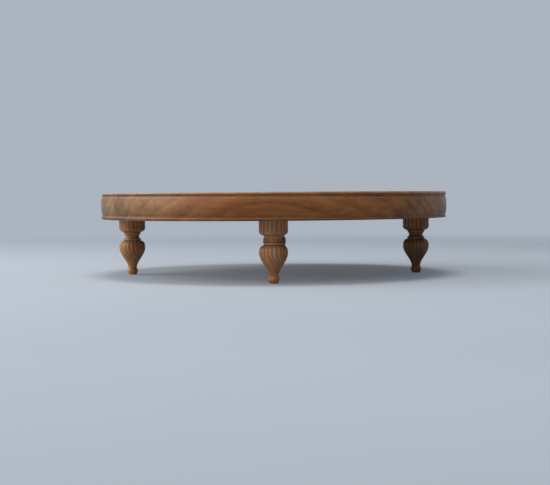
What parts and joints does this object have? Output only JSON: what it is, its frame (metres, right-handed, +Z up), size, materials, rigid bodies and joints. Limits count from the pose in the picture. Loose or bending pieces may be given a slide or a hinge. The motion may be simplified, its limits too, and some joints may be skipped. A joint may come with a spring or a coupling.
{
  "type": "low round table",
  "caption": "Low round wooden table: a thick turned top with a beaded edge, on short turned legs carved with straight reeds above and swirled reeds on the bulb.",
  "frame": {"origin": "on the floor, under the middle of the top", "axes": "+Z up; -Y towards the front leg and +X towards the right leg, so each leg stands on an axis; the grain of the top runs along X"},
  "size_m": [0.3, 0.3, 0.071],
  "materials": {
    "top_wood": "waxed, satin",
    "leg_wood": "waxed, satin",
    "wedge_wood": "bare, split along the grain"
  },
  "bodies": {
    "root": {"table_top": "top_wood", "leg_front": "leg_wood", "leg_right": "leg_wood", "leg_back": "leg_wood", "leg_left": "leg_wood", "wedge_front": "wedge_wood", "wedge_right": "wedge_wood", "wedge_back": "wedge_wood", "wedge_left": "wedge_wood"}
  },
  "joints": []
}
